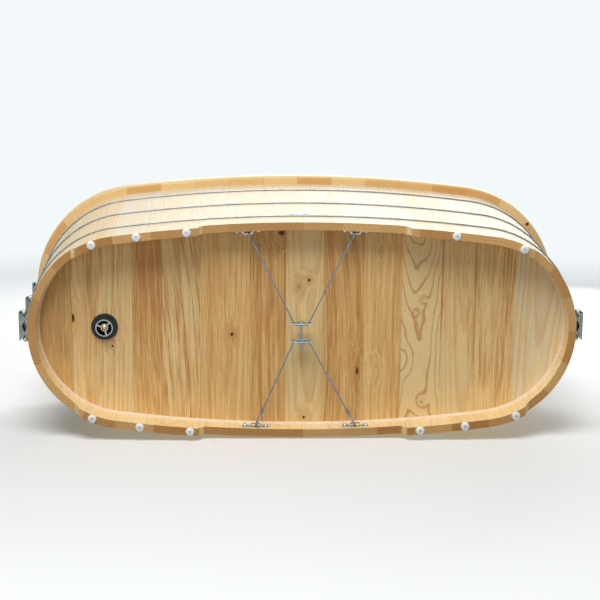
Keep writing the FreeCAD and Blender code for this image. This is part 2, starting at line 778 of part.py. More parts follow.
# Sleeve pressed round the two strands where a cable end closes its loop
def cable_ferrule(end):
    outer = cable_radius + ferrule_wall
    start, heading, pitch = end["ferrule_start"], end["heading"], end["pitch"]
    side = heading.cross(z_axis).normalize()
    lower, upper = start, start + z_axis * pitch
    outline = Part.Wire([
        line(lower + side * outer, upper + side * outer),
        arc(upper + side * outer, upper + z_axis * outer, upper - side * outer),
        line(upper - side * outer, lower - side * outer),
        arc(lower - side * outer, lower - z_axis * outer, lower + side * outer),
    ])
    sleeve = Part.Face(outline).extrude(heading * ferrule_length)
    for strand in (lower, upper):
        sleeve = sleeve.cut(cylinder(cable_radius + fit_clearance, ferrule_length, strand, heading))
    return sleeve


def build_brace(places):
    front_ends, back_ends = cable_ends(-1)[1], cable_ends(1)[1]
    return {
        "front_brace_plate": [brace_plate(-1)],
        "back_brace_plate": [brace_plate(1)],
        "brace_bolt": [brace_bolt()],
        "brace_washer": [brace_washer()],
        "brace_nut": [brace_nut()],
        "front_brace_cable": [brace_cable(-1)],
        "back_brace_cable": [brace_cable(1)],
        "cable_ferrules": [cable_ferrule(end) for end in front_ends + back_ends],
        "cable_saddles": [saddle_bracket(place) for place in places.values()],
        "saddle_screws": [screw for place in places.values() for screw in saddle_screws(place)],
    }


# Drain: flanged tail through the board, held by a locknut from below, with a push stopper on its cartridge
def build_drain():
    axis = vec(drain_x, 0, 0)
    bore = drain_tail_radius - drain_tail_wall
    flange_low = board_top_z + top_gasket_thickness
    flange_high = flange_low + drain_flange_thickness
    nut_top = board_under_z - under_gasket_thickness
    nut_low = nut_top - locknut_height
    relief_low = nut_low - tail_relief_width
    tail_low = nut_low - tail_exposed
    body = turned([
        (bore, tail_low), (drain_tail_radius, tail_low), (drain_tail_radius, relief_low),
        (drain_tail_radius - tail_relief_depth, relief_low), (drain_tail_radius - tail_relief_depth, nut_low),
        (drain_tail_radius, nut_low), (drain_tail_radius, flange_low),
        (drain_flange_radius, flange_low), (drain_flange_radius, flange_high - drain_flange_chamfer),
        (drain_flange_radius - drain_flange_chamfer, flange_high), (bore + drain_flange_chamfer, flange_high),
        (bore, flange_high - drain_flange_chamfer),
    ], axis)
    hub_low = tail_low + spider_inset
    spider = cylinder(spider_hub_radius, spider_height, axis + z_axis * hub_low)
    spoke = Part.makeBox(bore + drain_tail_wall / 2, spoke_width, spider_height,
                         vec(drain_x, -spoke_width / 2, hub_low))
    for number in range(spoke_count):
        arm = spoke.copy()
        arm.rotate(axis, z_axis, spoke_start_angle + 360 * number / spoke_count)
        spider = spider.fuse(arm)
    spider = spider.cut(cylinder(cartridge_radius + fit_clearance, spider_height, axis + z_axis * hub_low))
    body = body.fuse(spider).removeSplitter()

    cartridge_low = hub_low - cartridge_below_hub
    cartridge_top = flange_high - cartridge_below_flange
    cartridge_bore = stem_radius + fit_clearance
    collar = spider_hub_radius - fit_clearance
    cartridge = turned([
        (0, cartridge_low), (stem_radius, cartridge_low), (cartridge_radius, cartridge_low + cartridge_below_hub),
        (cartridge_radius, hub_low + spider_height), (collar, hub_low + spider_height),
        (collar, hub_low + 2 * spider_height), (cartridge_radius, hub_low + 2 * spider_height),
        (cartridge_radius, cartridge_top), (cartridge_bore, cartridge_top),
        (cartridge_bore, cartridge_low + cartridge_floor), (0, cartridge_low + cartridge_floor),
    ], axis)

    gasket_bore = drain_tail_radius + fit_clearance
    top_gasket = tube_ring(gasket_bore, drain_flange_radius, top_gasket_thickness, axis + z_axis * board_top_z)
    under_gasket = tube_ring(gasket_bore, under_gasket_radius, under_gasket_thickness, axis + z_axis * nut_top)
    locknut = tube_ring(gasket_bore, locknut_radius, locknut_height, axis + z_axis * nut_low)
    for number in range(locknut_lugs):
        groove = Part.makeBox(overrun, locknut_lug_width, 2 * locknut_height,
                              vec(drain_x + locknut_radius - locknut_lug_depth, -locknut_lug_width / 2,
                                  nut_top - 3 * locknut_height / 2))
        groove.rotate(axis, z_axis, 360 * number / locknut_lugs)
        locknut = locknut.cut(groove)

    seal_low = flange_high + stopper_rest_gap
    cap_low = seal_low + stopper_seal_thickness
    seal = tube_ring(stopper_seal_inner, stopper_seal_outer, stopper_seal_thickness, axis + z_axis * seal_low)
    cap_base = cylinder(stopper_radius, stopper_edge, axis + z_axis * cap_low)
    cap = cap_base.fuse(dome(stopper_radius, stopper_crown, axis + z_axis * (cap_low + stopper_edge), z_axis))
    stem_low = cartridge_low + cartridge_floor + stem_floor_gap
    stem = cylinder(stem_radius, cap_low - stem_low, axis + z_axis * stem_low)
    return {
        "drain_body": [body], "drain_cartridge": [cartridge], "drain_top_gasket": [top_gasket],
        "drain_under_gasket": [under_gasket], "drain_locknut": [locknut],
        "stopper_cap": [cap.removeSplitter()], "stopper_seal": [seal], "stopper_stem": [stem],
    }


# Thin oval plate that follows the curve and lean of the front wall
def oval_plate():
    z = foot_z + plate_height
    low, high = z - plate_breadth, z + plate_breadth
    out = seat_gap
    section = [(flare_at(low) + out, low), (flare_at(low) + out + plate_thickness, low),
               (flare_at(high) + out + plate_thickness, high), (flare_at(high) + out, high)]
    shell = ring_sector(section, oval_arcs(0)["front"], 0, 1)
    ellipse = Part.Ellipse(vec(plate_x, 0, z), plate_length / 2, plate_breadth / 2).toShape()
    ellipse.rotate(vec(plate_x, 0, z), x_axis, 90)
    cookie = Part.Face(Part.Wire(ellipse)).extrude(y_axis * -(half_width + wall_flare + overrun))
    return shell.common(cookie)


def save(name, shapes):
    solids = [solid for shape in shapes for solid in shape.Solids]
    result = solids[0] if len(solids) == 1 else Part.makeCompound(solids)
    result.exportStep(f"parts/{name}.step")
    volume = sum(solid.Volume for solid in solids)
    print(f"{name}: {len(solids)} solids, {volume / 1000:.1f} cm3, valid {all(s.isValid() for s in solids)}")


def main():
    os.makedirs("parts", exist_ok=True)
    places = saddle_places()
    glides = glide_places()
    holes = [hole for place in places.values() for hole in screw_holes(place)]
    tools = foot_cutters() + [nail_hole(place) for place in glides] + holes
    nodes = {}
    nodes.update(build_staves(tools))
    nodes.update(build_boards())
    nodes["sealant_bead"] = [build_sealant()]
    nodes.update(build_rim())
    nodes.update(build_hoops())
    nodes.update(build_brace(places))
    nodes.update(build_drain())
    nodes["foot_glides"] = [foot_glide(place) for place in glides]
    nodes["foot_nails"] = [foot_nail(place) for place in glides]
    nodes["oval_plate"] = [oval_plate()]
    for name, shapes in nodes.items():
        save(name, shapes)
    print(len(nodes), "nodes")


main()
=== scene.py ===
import json
import math
import random

import bmesh
import bpy
import numpy as np
from mathutils import Euler, Matrix, Vector


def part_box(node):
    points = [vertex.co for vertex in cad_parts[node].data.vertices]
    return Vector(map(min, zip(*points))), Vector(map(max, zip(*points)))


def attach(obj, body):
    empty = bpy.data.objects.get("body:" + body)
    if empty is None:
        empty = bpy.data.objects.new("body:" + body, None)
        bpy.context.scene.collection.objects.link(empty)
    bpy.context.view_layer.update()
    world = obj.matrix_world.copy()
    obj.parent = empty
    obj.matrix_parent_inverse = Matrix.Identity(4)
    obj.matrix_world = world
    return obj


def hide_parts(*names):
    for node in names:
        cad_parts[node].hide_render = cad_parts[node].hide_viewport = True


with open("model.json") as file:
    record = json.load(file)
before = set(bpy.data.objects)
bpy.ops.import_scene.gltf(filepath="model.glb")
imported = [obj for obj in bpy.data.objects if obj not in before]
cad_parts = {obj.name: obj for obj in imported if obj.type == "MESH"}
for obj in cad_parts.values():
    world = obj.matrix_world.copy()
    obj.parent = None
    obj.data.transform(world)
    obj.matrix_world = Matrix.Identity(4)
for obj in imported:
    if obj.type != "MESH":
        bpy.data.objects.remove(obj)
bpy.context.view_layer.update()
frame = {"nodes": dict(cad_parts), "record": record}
nodes = frame["nodes"]
bodyOf = {node: body for body, members in frame["record"]["behaviour"]["bodies"].items() for node in members}
slotOf = {part["node"]: part["material_slot"] for part in frame["record"]["subparts"]}
scene = bpy.context.scene
scene.view_settings.view_transform = "Standard"


# Shader helpers: most add one node and give back its output

def newMaterial(name):
    material = bpy.data.materials.new(name)
    material.use_nodes = True
    tree = material.node_tree
    return material, tree, tree.nodes["Principled BSDF"]


def feed(tree, socket, value):  # links another node's output, or sets a plain value
    if isinstance(value, bpy.types.NodeSocket):
        tree.links.new(value, socket)
    elif isinstance(value, tuple) and len(value) == 3 and socket.type == "RGBA":
        socket.default_value = (*value, 1)
    else:
        socket.default_value = value


def calc(tree, operation, *values):
    node = tree.nodes.new("ShaderNodeMath")
    node.operation = operation
    for socket, value in zip(node.inputs, values):
        feed(tree, socket, value)
    return node.outputs[0]


def calcVector(tree, operation, *values):
    node = tree.nodes.new("ShaderNodeVectorMath")
    node.operation = operation
    for socket, value in zip(node.inputs, values):
        feed(tree, socket, value)
    return node.outputs["Value" if operation == "LENGTH" else "Vector"]


def split(tree, vector):
    node = tree.nodes.new("ShaderNodeSeparateXYZ")
    feed(tree, node.inputs[0], vector)
    return node.outputs


def join(tree, x, y, z=0.0):
    node = tree.nodes.new("ShaderNodeCombineXYZ")
    for socket, value in zip(node.inputs, (x, y, z)):
        feed(tree, socket, value)
    return node.outputs[0]


def flatLength(tree, x, y):
    return calcVector(tree, "LENGTH", join(tree, x, y))


def noise(tree, vector, stretch, detail=2.0, rough=0.5, colour=False):  # stretch is in waves a metre
    node = tree.nodes.new("ShaderNodeTexNoise")
    feed(tree, node.inputs["Vector"], calcVector(tree, "MULTIPLY", vector, stretch))
    node.inputs["Scale"].default_value = 1
    node.inputs["Detail"].default_value = detail
    node.inputs["Roughness"].default_value = rough
    return node.outputs["Color" if colour else "Fac"]


def between(tree, value, low, high):
    node = tree.nodes.new("ShaderNodeMapRange")
    node.interpolation_type = "SMOOTHSTEP"
    feed(tree, node.inputs["Value"], value)
    node.inputs["From Min"].default_value = low
    node.inputs["From Max"].default_value = high
    return node.outputs[0]


def centred(tree, share):
    return calc(tree, "SUBTRACT", share, 0.5)


def swing(tree, share, reach):  # to both sides of nought
    return calc(tree, "MULTIPLY", centred(tree, share), reach)


def fallOff(tree, value, width):
    share = calc(tree, "POWER", calc(tree, "DIVIDE", value, width), 2.0)
    return calc(tree, "EXPONENT", calc(tree, "MULTIPLY", share, -1.0))


def ramp(tree, value, stops):
    node = tree.nodes.new("ShaderNodeValToRGB")
    feed(tree, node.inputs[0], value)
    elements = node.color_ramp.elements
    while len(elements) < len(stops):
        elements.new(0.5)
    for element, (place, colour) in zip(elements, stops):
        element.position = place
        element.color = (*colour, 1) if isinstance(colour, tuple) else (colour, colour, colour, 1)
    return node.outputs[0]


def mix(tree, share, first, second, blend="MIX"):
    node = tree.nodes.new("ShaderNodeMix")
    node.data_type, node.blend_type = "RGBA", blend
    for index, value in ((0, share), (6, first), (7, second)):  # the colour sockets of a mix node
        feed(tree, node.inputs[index], value)
    return node.outputs[2]


def bump(tree, shader, height, strength, distance):
    node = tree.nodes.new("ShaderNodeBump")
    feed(tree, node.inputs["Height"], height)
    node.inputs["Strength"].default_value = strength
    node.inputs["Distance"].default_value = distance
    tree.links.new(node.outputs[0], shader.inputs["Normal"])


def coordinate(tree, output="Object"):
    return tree.nodes.new("ShaderNodeTexCoord").outputs[output]


def attribute(tree, name, output):
    node = tree.nodes.new("ShaderNodeAttribute")
    node.attribute_name = name
    return node.outputs[output]


# Wood: growth rings about a pith, streaks and fibres along the grain, and knots that the grain flows round.
# The grain attribute holds a piece's own place in its log, in metres: across, through and along.

woodTones = {
    "cream": (0.745, 0.68, 0.525),
    "butter": (0.91, 0.73, 0.41),
    "pale": (0.78, 0.605, 0.305),
    "straw": (0.82, 0.575, 0.25),
    "honey": (0.71, 0.425, 0.150),
    "olive": (0.44, 0.265, 0.095),
    "russet": (0.50, 0.230, 0.068),
    "umber": (0.215, 0.088, 0.026),
    "knot": (0.040, 0.014, 0.006),
}

figure = {  # what all the wood shares; limits are the part of a noise that is used
    "streakLimits": (0.34, 0.66),
    "threadScale": (430, 430, 1.5),
    "threadLimits": (0.32, 0.68),
    "fibreScale": (1300, 1300, 20),
    "fibreRough": 0.6,
    "poreScale": (950, 950, 45),
    "poreDetail": 1,
    "poreLimits": (0.62, 0.74),
    "poreShade": 0.16,
    "endLimits": (0.72, 0.92),   # how squarely a face looks up or down to count as end grain
    "endTone": 2.4,
    "endLate": 0.48,
    "glueShade": 0.22,
    "rough": 0.42,
    "fibreGloss": 0.22,
    "shine": 0.30,
    "lateHeight": 0.35,
    "fibreHeight": 0.65,
    "relief": (0.22, 0.0004),    # strength and depth
}

knotFigure = {  # in parts of the knot's size, apart from the scale and the shares
    "spread": 4.2,
    "sink": 2.2,
    "ragScale": (260, 260, 90),
    "rag": 1.4,
    "push": -0.75,
    "core": 0.45,
    "haloReach": 4.2,
    "haloShare": 0.44,
}

straightProfile = [(0.0, 0.0), (0.45, 0.18), (0.86, 0.9), (0.95, 0.55), (1.0, 0.0)]
contourProfile = [(0.0, 0.0), (0.75, 0.05), (0.89, 0.85), (0.94, 1.0), (0.98, 0.7), (1.0, 0.0)]

oval = {  # arcs of the wall at the foot
    "sideRadius": 4.0,
    "sideCentre": 3.701,
    "endRadius": 0.26815,
    "endCentre": 0.47885,
}


def knot(x, y, size, length=1.0, spread=None, sink=None, dark=1.0, glow=None):
    return {"x": x, "y": y, "size": size, "length": length, "dark": dark,
            "spread": spread or size * knotFigure["spread"], "sink": sink or size * knotFigure["sink"],
            "glow": dark if glow is None else glow}


def toneRamp(tree, value, tints):
    return ramp(tree, value, [(place, woodTones[tint]) for place, tint in tints])


def blockGrain(tree, spot, blocks):  # upright blocks round the oval, each from its own log
    sideArm = calc(tree, "ADD", calc(tree, "ABSOLUTE", spot["Y"]), oval["sideCentre"])
    endArm = calc(tree, "SUBTRACT", calc(tree, "ABSOLUTE", spot["X"]), oval["endCentre"])
    sideTurn = calc(tree, "ARCTAN2", spot["X"], sideArm)
    endTurn = calc(tree, "ARCTAN2", spot["Y"], endArm)
    corner = math.atan2(oval["endCentre"], oval["sideCentre"])  # turn at which a side meets an end
    onSide = calc(tree, "LESS_THAN", calc(tree, "ABSOLUTE", sideTurn), corner)

    def pick(side, end):
        return calc(tree, "MULTIPLY_ADD", onSide, calc(tree, "SUBTRACT", side, end), end)

    def count(turn, perTurn, firstCount, wall):
        step = calc(tree, "MULTIPLY_ADD", turn, perTurn, firstCount)
        return calc(tree, "MULTIPLY_ADD", calc(tree, "SIGN", wall), blocks["wallCount"], step)

    sideStep = count(sideTurn, blocks["perSide"] / (2 * corner), blocks["sideCount"], spot["Y"])
    endStep = count(endTurn, blocks["perEnd"] / (math.pi - 2 * corner), blocks["endCount"], spot["X"])
    step = pick(sideStep, endStep)
    sideReach = calc(tree, "SUBTRACT", flatLength(tree, spot["X"], sideArm), oval["sideRadius"])
    endReach = calc(tree, "SUBTRACT", flatLength(tree, endArm, spot["Y"]), oval["endRadius"])
    reach = pick(sideReach, endReach)
    across = centred(tree, calc(tree, "FRACT", step))
    dice = tree.nodes.new("ShaderNodeTexWhiteNoise")
    dice.noise_dimensions = "1D"
    feed(tree, dice.inputs["W"], calc(tree, "FLOOR", step))
    chance = split(tree, dice.outputs["Color"])
    acrossPlace = calc(tree, "MULTIPLY", across, blocks["width"])
    acrossPlace = calc(tree, "MULTIPLY_ADD", chance["X"], blocks["pithAcross"], acrossPlace)
    pithDepth = calc(tree, "MULTIPLY_ADD", chance["Y"], blocks["pithThrough"], -blocks["pithThrough"] / 2)
    alongPlace = calc(tree, "MULTIPLY_ADD", chance["Z"], blocks["slip"], spot["Z"])
    grain = join(tree, acrossPlace, calc(tree, "ADD", reach, pithDepth), alongPlace)
    tone = calc(tree, "POWER", dice.outputs["Value"], blocks["skew"])
    tone = calc(tree, "MULTIPLY", tone, blocks["tone"])
    return grain, tone, between(tree, calc(tree, "ABSOLUTE", across), *blocks["glueLine"])


def strayGrain(tree, grain, spot, look):  # how the grain strays sideways and dives along a board
    square = calc(tree, "MULTIPLY", spot["Y"], spot["Y"])
    aside = calc(tree, "MULTIPLY", square, look["sweep"])
    aside = calc(tree, "MULTIPLY_ADD", spot["Y"], look["lean"], aside)
    dive = calc(tree, "MULTIPLY", square, look["bow"])
    dive = calc(tree, "MULTIPLY_ADD", spot["Y"], look["slope"], dive)
    stray = join(tree, calc(tree, "MULTIPLY", aside, -1.0), dive)
    return calcVector(tree, "ADD", grain, stray), aside


def knotGrain(tree, grain, spot, knots):  # the grain parts round each knot
    dark, halo = 0.0, 0.0
    for own in knots:
        size = own["size"]
        across = calc(tree, "SUBTRACT", spot["X"], own["x"])
        along = calc(tree, "SUBTRACT", spot["Y"], own["y"])
        reach = flatLength(tree, across, calc(tree, "DIVIDE", along, own["length"]))
        ragged = centred(tree, noise(tree, grain, knotFigure["ragScale"]))
        reach = calc(tree, "MULTIPLY_ADD", ragged, size * knotFigure["rag"], reach)
        swirl = fallOff(tree, reach, own["spread"])
        push = calc(tree, "MULTIPLY", calc(tree, "MULTIPLY", across, swirl), knotFigure["push"])
        sink = calc(tree, "MULTIPLY", swirl, own["sink"])
        grain = calcVector(tree, "ADD", grain, join(tree, push, sink))
        if own["dark"]:
            core = calc(tree, "SUBTRACT", 1.0, between(tree, reach, size * knotFigure["core"], size))
            dark = calc(tree, "MAXIMUM", dark, calc(tree, "MULTIPLY", core, own["dark"]))
            glow = fallOff(tree, reach, size * knotFigure["haloReach"])
            glow = calc(tree, "MULTIPLY", glow, knotFigure["haloShare"] * own["glow"])
            halo = calc(tree, "MAXIMUM", halo, glow)
    return grain, dark, halo


def woodMaterial(name, look):
    material, tree, shader = newMaterial(name)
    spot = split(tree, coordinate(tree))
    if "blocks" in look:
        grain, tone, glueLine = blockGrain(tree, spot, look["blocks"])
    else:
        grain, tone = attribute(tree, "grain", "Vector"), attribute(tree, "tone", "Fac")
    if "lean" in look:
        grain, aside = strayGrain(tree, grain, spot, look)
    if "knots" in look:
        grain, dark, halo = knotGrain(tree, grain, spot, look["knots"])
    # rings and streaks waver, fibres and pores don't
    warp = noise(tree, grain, look["warpScale"], colour=True)
    warp = calcVector(tree, "SUBTRACT", warp, (0.5, 0.5, 0.5))
    waver = calcVector(tree, "MULTIPLY", warp, (look["warp"], look["warp"], 0.0))
    warped = calcVector(tree, "ADD", grain, waver)
    place = split(tree, warped)
    turn = calc(tree, "DIVIDE", flatLength(tree, place["X"], place["Y"]), look["ring"])
    late = ramp(tree, calc(tree, "FRACT", turn), look["profile"])
    streak = between(tree, noise(tree, warped, look["streakScale"]), *figure["streakLimits"])
    thread = between(tree, noise(tree, warped, figure["threadScale"]), *figure["threadLimits"])
    fibre = noise(tree, grain, figure["fibreScale"], rough=figure["fibreRough"])
    pore = noise(tree, grain, figure["poreScale"], figure["poreDetail"])
    pore = between(tree, pore, *figure["poreLimits"])
    # depth of tone
    deep = calc(tree, "ADD", tone, swing(tree, streak, look["streak"]))
    deep = calc(tree, "ADD", deep, swing(tree, thread, look["thread"]))
    if "fade" in look:  # painted light: paler towards the back, standing in for light thrown onto the boards by the back wall of the recess
        deep = calc(tree, "MULTIPLY_ADD", calc(tree, "MAXIMUM", spot["Y"], 0.0), -look["fade"], deep)
    if "bands" in look:  # darker or paler stripes, each with its place, width and depth
        wander = calc(tree, "MULTIPLY_ADD", split(tree, warp)["X"], look["warp"], spot["X"])
        wander = calc(tree, "SUBTRACT", wander, aside)
        for bandPlace, bandWidth, bandDepth in look["bands"]:
            share = fallOff(tree, calc(tree, "SUBTRACT", wander, bandPlace), bandWidth)
            deep = calc(tree, "MULTIPLY_ADD", share, bandDepth, deep)
    colour = toneRamp(tree, deep, look["tints"])
    if "inner" in look:  # painted light: the outside of the wall takes a whiter cream than the warmer inside, standing in for the strong light that falls on it
        warm = toneRamp(tree, deep, look["inner"])
        colour = mix(tree, attribute(tree, "outside", "Fac"), warm, colour)
    lineTone = look.get("lineTone", woodTones["russet"])
    colour = mix(tree, calc(tree, "MULTIPLY", late, look["line"]), colour, lineTone)
    if "knots" in look:
        colour = mix(tree, halo, colour, woodTones["russet"])
    if "endShare" in look:  # end grain soaks up more oil and shows darker
        level = calc(tree, "ABSOLUTE", split(tree, coordinate(tree, "Normal"))["Z"])
        endMask = calc(tree, "MULTIPLY", between(tree, level, *figure["endLimits"]), look["endShare"])
        light, deepest, lateTone = look["endTones"]
        endTone = mix(tree, calc(tree, "MULTIPLY", tone, figure["endTone"]), light, deepest)
        endTone = mix(tree, calc(tree, "MULTIPLY", late, figure["endLate"]), endTone, lateTone)
        colour = mix(tree, endMask, colour, endTone)
    if "blocks" in look:
        colour = mix(tree, calc(tree, "MULTIPLY", glueLine, figure["glueShade"]), colour, woodTones["umber"])
    shade = calc(tree, "ADD", 1.0, swing(tree, fibre, look["fibre"]))
    shade = calc(tree, "SUBTRACT", shade, calc(tree, "MULTIPLY", pore, figure["poreShade"]))
    colour = mix(tree, 1.0, colour, join(tree, shade, shade, shade), "MULTIPLY")
    if "knots" in look:
        colour = mix(tree, dark, colour, woodTones["knot"])
    feed(tree, shader.inputs["Base Color"], colour)
    gloss = calc(tree, "MULTIPLY", fibre, figure["fibreGloss"])
    feed(tree, shader.inputs["Roughness"], calc(tree, "ADD", figure["rough"], gloss))
    shader.inputs["Specular IOR Level"].default_value = figure["shine"]
    lateRidge = calc(tree, "MULTIPLY", late, figure["lateHeight"])
    fibreRidge = calc(tree, "MULTIPLY", fibre, figure["fibreHeight"])
    bump(tree, shader, calc(tree, "ADD", lateRidge, fibreRidge), *figure["relief"])
    return material


# Copies of CAD nodes: vertices merged, hard edges eased, shading smooth

copying = {  # angles in degrees
    "merge": 2e-6,
    "flatAngle": 0.15,
    "hardAngle": 40,
    "easingSteps": 2,
    "smoothAngle": 38,
}


def copyMesh(nodeName, easing=0.0, labels=None):  # faces with one label make one solid
    source = nodes[nodeName].data
    members = {}
    for polygon, label in zip(source.polygons, labels or [0] * len(source.polygons)):
        members.setdefault(label, []).append(polygon)
    points, faces, groups = [], [], []
    for label in sorted(members):  # solids that touch are merged one at a time
        shape = bmesh.new()
        for polygon in members[label]:
            shape.faces.new([shape.verts.new(source.vertices[index].co) for index in polygon.vertices])
        bmesh.ops.remove_doubles(shape, verts=shape.verts, dist=copying["merge"])
        bmesh.ops.dissolve_limit(shape, angle_limit=math.radians(copying["flatAngle"]),
                                 verts=shape.verts, edges=shape.edges)
        if easing:
            hardAngle = math.radians(copying["hardAngle"])
            hard = [edge for edge in shape.edges if edge.is_manifold and edge.calc_face_angle() > hardAngle]
            bmesh.ops.bevel(shape, geom=hard, offset=easing, segments=copying["easingSteps"], profile=0.5,
                            affect="EDGES", clamp_overlap=True)
        shape.verts.index_update()
        first = len(points)
        points += [vertex.co.copy() for vertex in shape.verts]
        faces += [[first + vertex.index for vertex in face.verts] for face in shape.faces]
        groups.append(np.arange(first, len(points)))
        shape.free()
    mesh = bpy.data.meshes.new(nodeName)
    mesh.from_pydata(points, [], faces)
    mesh.update()
    return mesh, groups


def smoothShade(mesh, angle):
    mesh.shade_smooth()
    mesh.set_sharp_from_angle(angle=math.radians(angle))


def addPiece(name, mesh, material, nodeName):
    piece = bpy.data.objects.new(name, mesh)
    scene.collection.objects.link(piece)
    mesh.materials.clear()
    mesh.materials.append(material)
    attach(piece, bodyOf[nodeName])
    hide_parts(nodeName)


def dress(nodeName, material, angle=copying["smoothAngle"], shift=(0, 0, 0)):
    mesh = copyMesh(nodeName)[0]
    mesh.transform(Matrix.Translation(shift))
    smoothShade(mesh, angle)
    addPiece(nodeName + "_finish", mesh, material, nodeName)


def writeValues(mesh, name, values, kind="FLOAT", domain="POINT"):
    slot = "vector" if kind == "FLOAT_VECTOR" else "value"
    mesh.attributes.new(name, kind, domain).data.foreach_set(slot, np.asarray(values, np.float32).ravel())


def writeGrain(mesh, grain, tone):
    writeValues(mesh, "grain", grain, "FLOAT_VECTOR")
    writeValues(mesh, "tone", tone)


def readValues(items, name, width):
    values = np.empty(len(items) * width, np.float32)
    items.foreach_get(name, values)
    return values.reshape(-1, width).astype(float)


# Staves: the grain runs up each stave, and each comes from its own log

staves = {
    "easing": 0.0007,
    "smoothAngle": 19,
    "seed": 11,
    "flare": 27.0 / 586.0,           # outwards by height
    "arcWays": {"front": (0.0, 1), "back": (0.0, -1), "right": (1, 0.0), "left": (-1, 0.0)},  # to its centre
    "jointSquare": 0.97,             # how squarely a joint's faces look along the wall
    "jointStep": 0.001,
    "jointArea": 0.004,
    "probe": 0.003,                  # from a face into its own stave
    "outside": 0.5,                  # how squarely a face of the outside looks outwards
    "pithAcross": (-0.05, 0.05),
    "pithThrough": (0.03, 0.10),
    "slope": (-0.07, 0.07),
    "slip": (0, 9),
    "tone": (0.0, 0.42),
    "look": {"ring": 0.0078, "warp": 0.012, "warpScale": (30, 30, 1.6), "profile": straightProfile,
             "line": 0.22, "streak": 0.24, "streakScale": (95, 95, 1.3), "thread": 0.14, "fibre": 0.30,
             "endShare": 0.95,
             "endTones": ((0.70, 0.42, 0.150), (0.42, 0.185, 0.044), (0.28, 0.11, 0.024)),
             # painted light: the outside of the staves is a whiter cream than the inside, standing in for the
             # strong light on it
             "tints": ((0.0, "cream"), (0.75, "straw"), (1.0, "honey")),
             "inner": ((0.0, "butter"), (0.75, "straw"), (1.0, "honey"))},
}


def wallArc(nodeName):  # the arc of the oval that a wall follows
    wayX, wayY = staves["arcWays"][nodeName.split("_")[0]]
    return {"centre": np.array((wayX * oval["endCentre"], wayY * oval["sideCentre"])),
            "radius": oval["endRadius"] if wayX else oval["sideRadius"],
            "facing": math.atan2(-wayY, wayX)}


def turnOf(arc, points):
    arm = points[:, :2] - arc["centre"]
    return np.angle(np.exp(1j * (np.arctan2(arm[:, 1], arm[:, 0]) - arc["facing"])))


def staveOfFaces(arc, source):  # the joints between staves tell which stave a face belongs to
    middles, normals = readValues(source.polygons, "center", 3), readValues(source.polygons, "normal", 3)
    areas = readValues(source.polygons, "area", 1)[:, 0]
    turns = turnOf(arc, middles)
    bearing = turns + arc["facing"]
    square = np.abs(normals[:, 1] * np.cos(bearing) - normals[:, 0] * np.sin(bearing))
    joint = square > staves["jointSquare"]
    places = {}
    for place, area in zip(np.round(turns[joint] * arc["radius"] / staves["jointStep"]), areas[joint]):
        places[place] = places.get(place, 0.0) + area
    edges = np.array(sorted(place for place, area in places.items() if area > staves["jointArea"]))
    edges = edges * staves["jointStep"] / arc["radius"]
    return np.searchsorted(edges, turnOf(arc, middles - normals * staves["probe"])).tolist()


def growStaves(arc, mesh, groups, dice):
    points = readValues(mesh.vertices, "co", 3)
    arm = points[:, :2] - arc["centre"]
    across = turnOf(arc, points) * arc["radius"]
    depth = np.hypot(arm[:, 0], arm[:, 1]) - arc["radius"] - staves["flare"] * points[:, 2]
    grain, tone = np.zeros_like(points), np.zeros(len(points))
    for stave in groups:
        middle = (across[stave].min() + across[stave].max()) / 2
        pithAcross = dice.uniform(*staves["pithAcross"])
        pithThrough = dice.choice((-1, 1)) * dice.uniform(*staves["pithThrough"])
        slope, slip = dice.uniform(*staves["slope"]), dice.uniform(*staves["slip"])
        grain[stave, 0] = across[stave] - middle + pithAcross
        grain[stave, 1] = depth[stave] + pithThrough + slope * points[stave, 2]
        grain[stave, 2] = points[stave, 2] + slip
        tone[stave] = dice.uniform(*staves["tone"])
    writeGrain(mesh, grain, tone)


def markOutside(arc, mesh):
    middles, normals = readValues(mesh.polygons, "center", 3), readValues(mesh.polygons, "normal", 3)
    away = middles[:, :2] - arc["centre"]
    outside = (normals[:, :2] * away).sum(axis=1) > staves["outside"] * np.hypot(away[:, 0], away[:, 1])
    writeValues(mesh, "outside", outside, domain="FACE")


def dressStaves():
    material = woodMaterial("oiledStaveWood", staves["look"])
    dice = random.Random(staves["seed"])
    for nodeName in sorted(name for name in nodes if "_wall_staves_" in name):
        arc = wallArc(nodeName)
        mesh, groups = copyMesh(nodeName, staves["easing"], staveOfFaces(arc, nodes[nodeName].data))
        print(nodeName, len(groups), "staves")
        markOutside(arc, mesh)
        smoothShade(mesh, staves["smoothAngle"])
        growStaves(arc, mesh, groups, dice)
        addPiece(nodeName + "_finish", mesh, material, nodeName)
    print("staves dressed")


# Bottom boards, from the drain end: tone, figure and knots from the picture.
# A knot without any dark is a swell in the figure.

fairTints = ((0.0, "pale"), (0.40, "straw"), (1.0, "russet"))

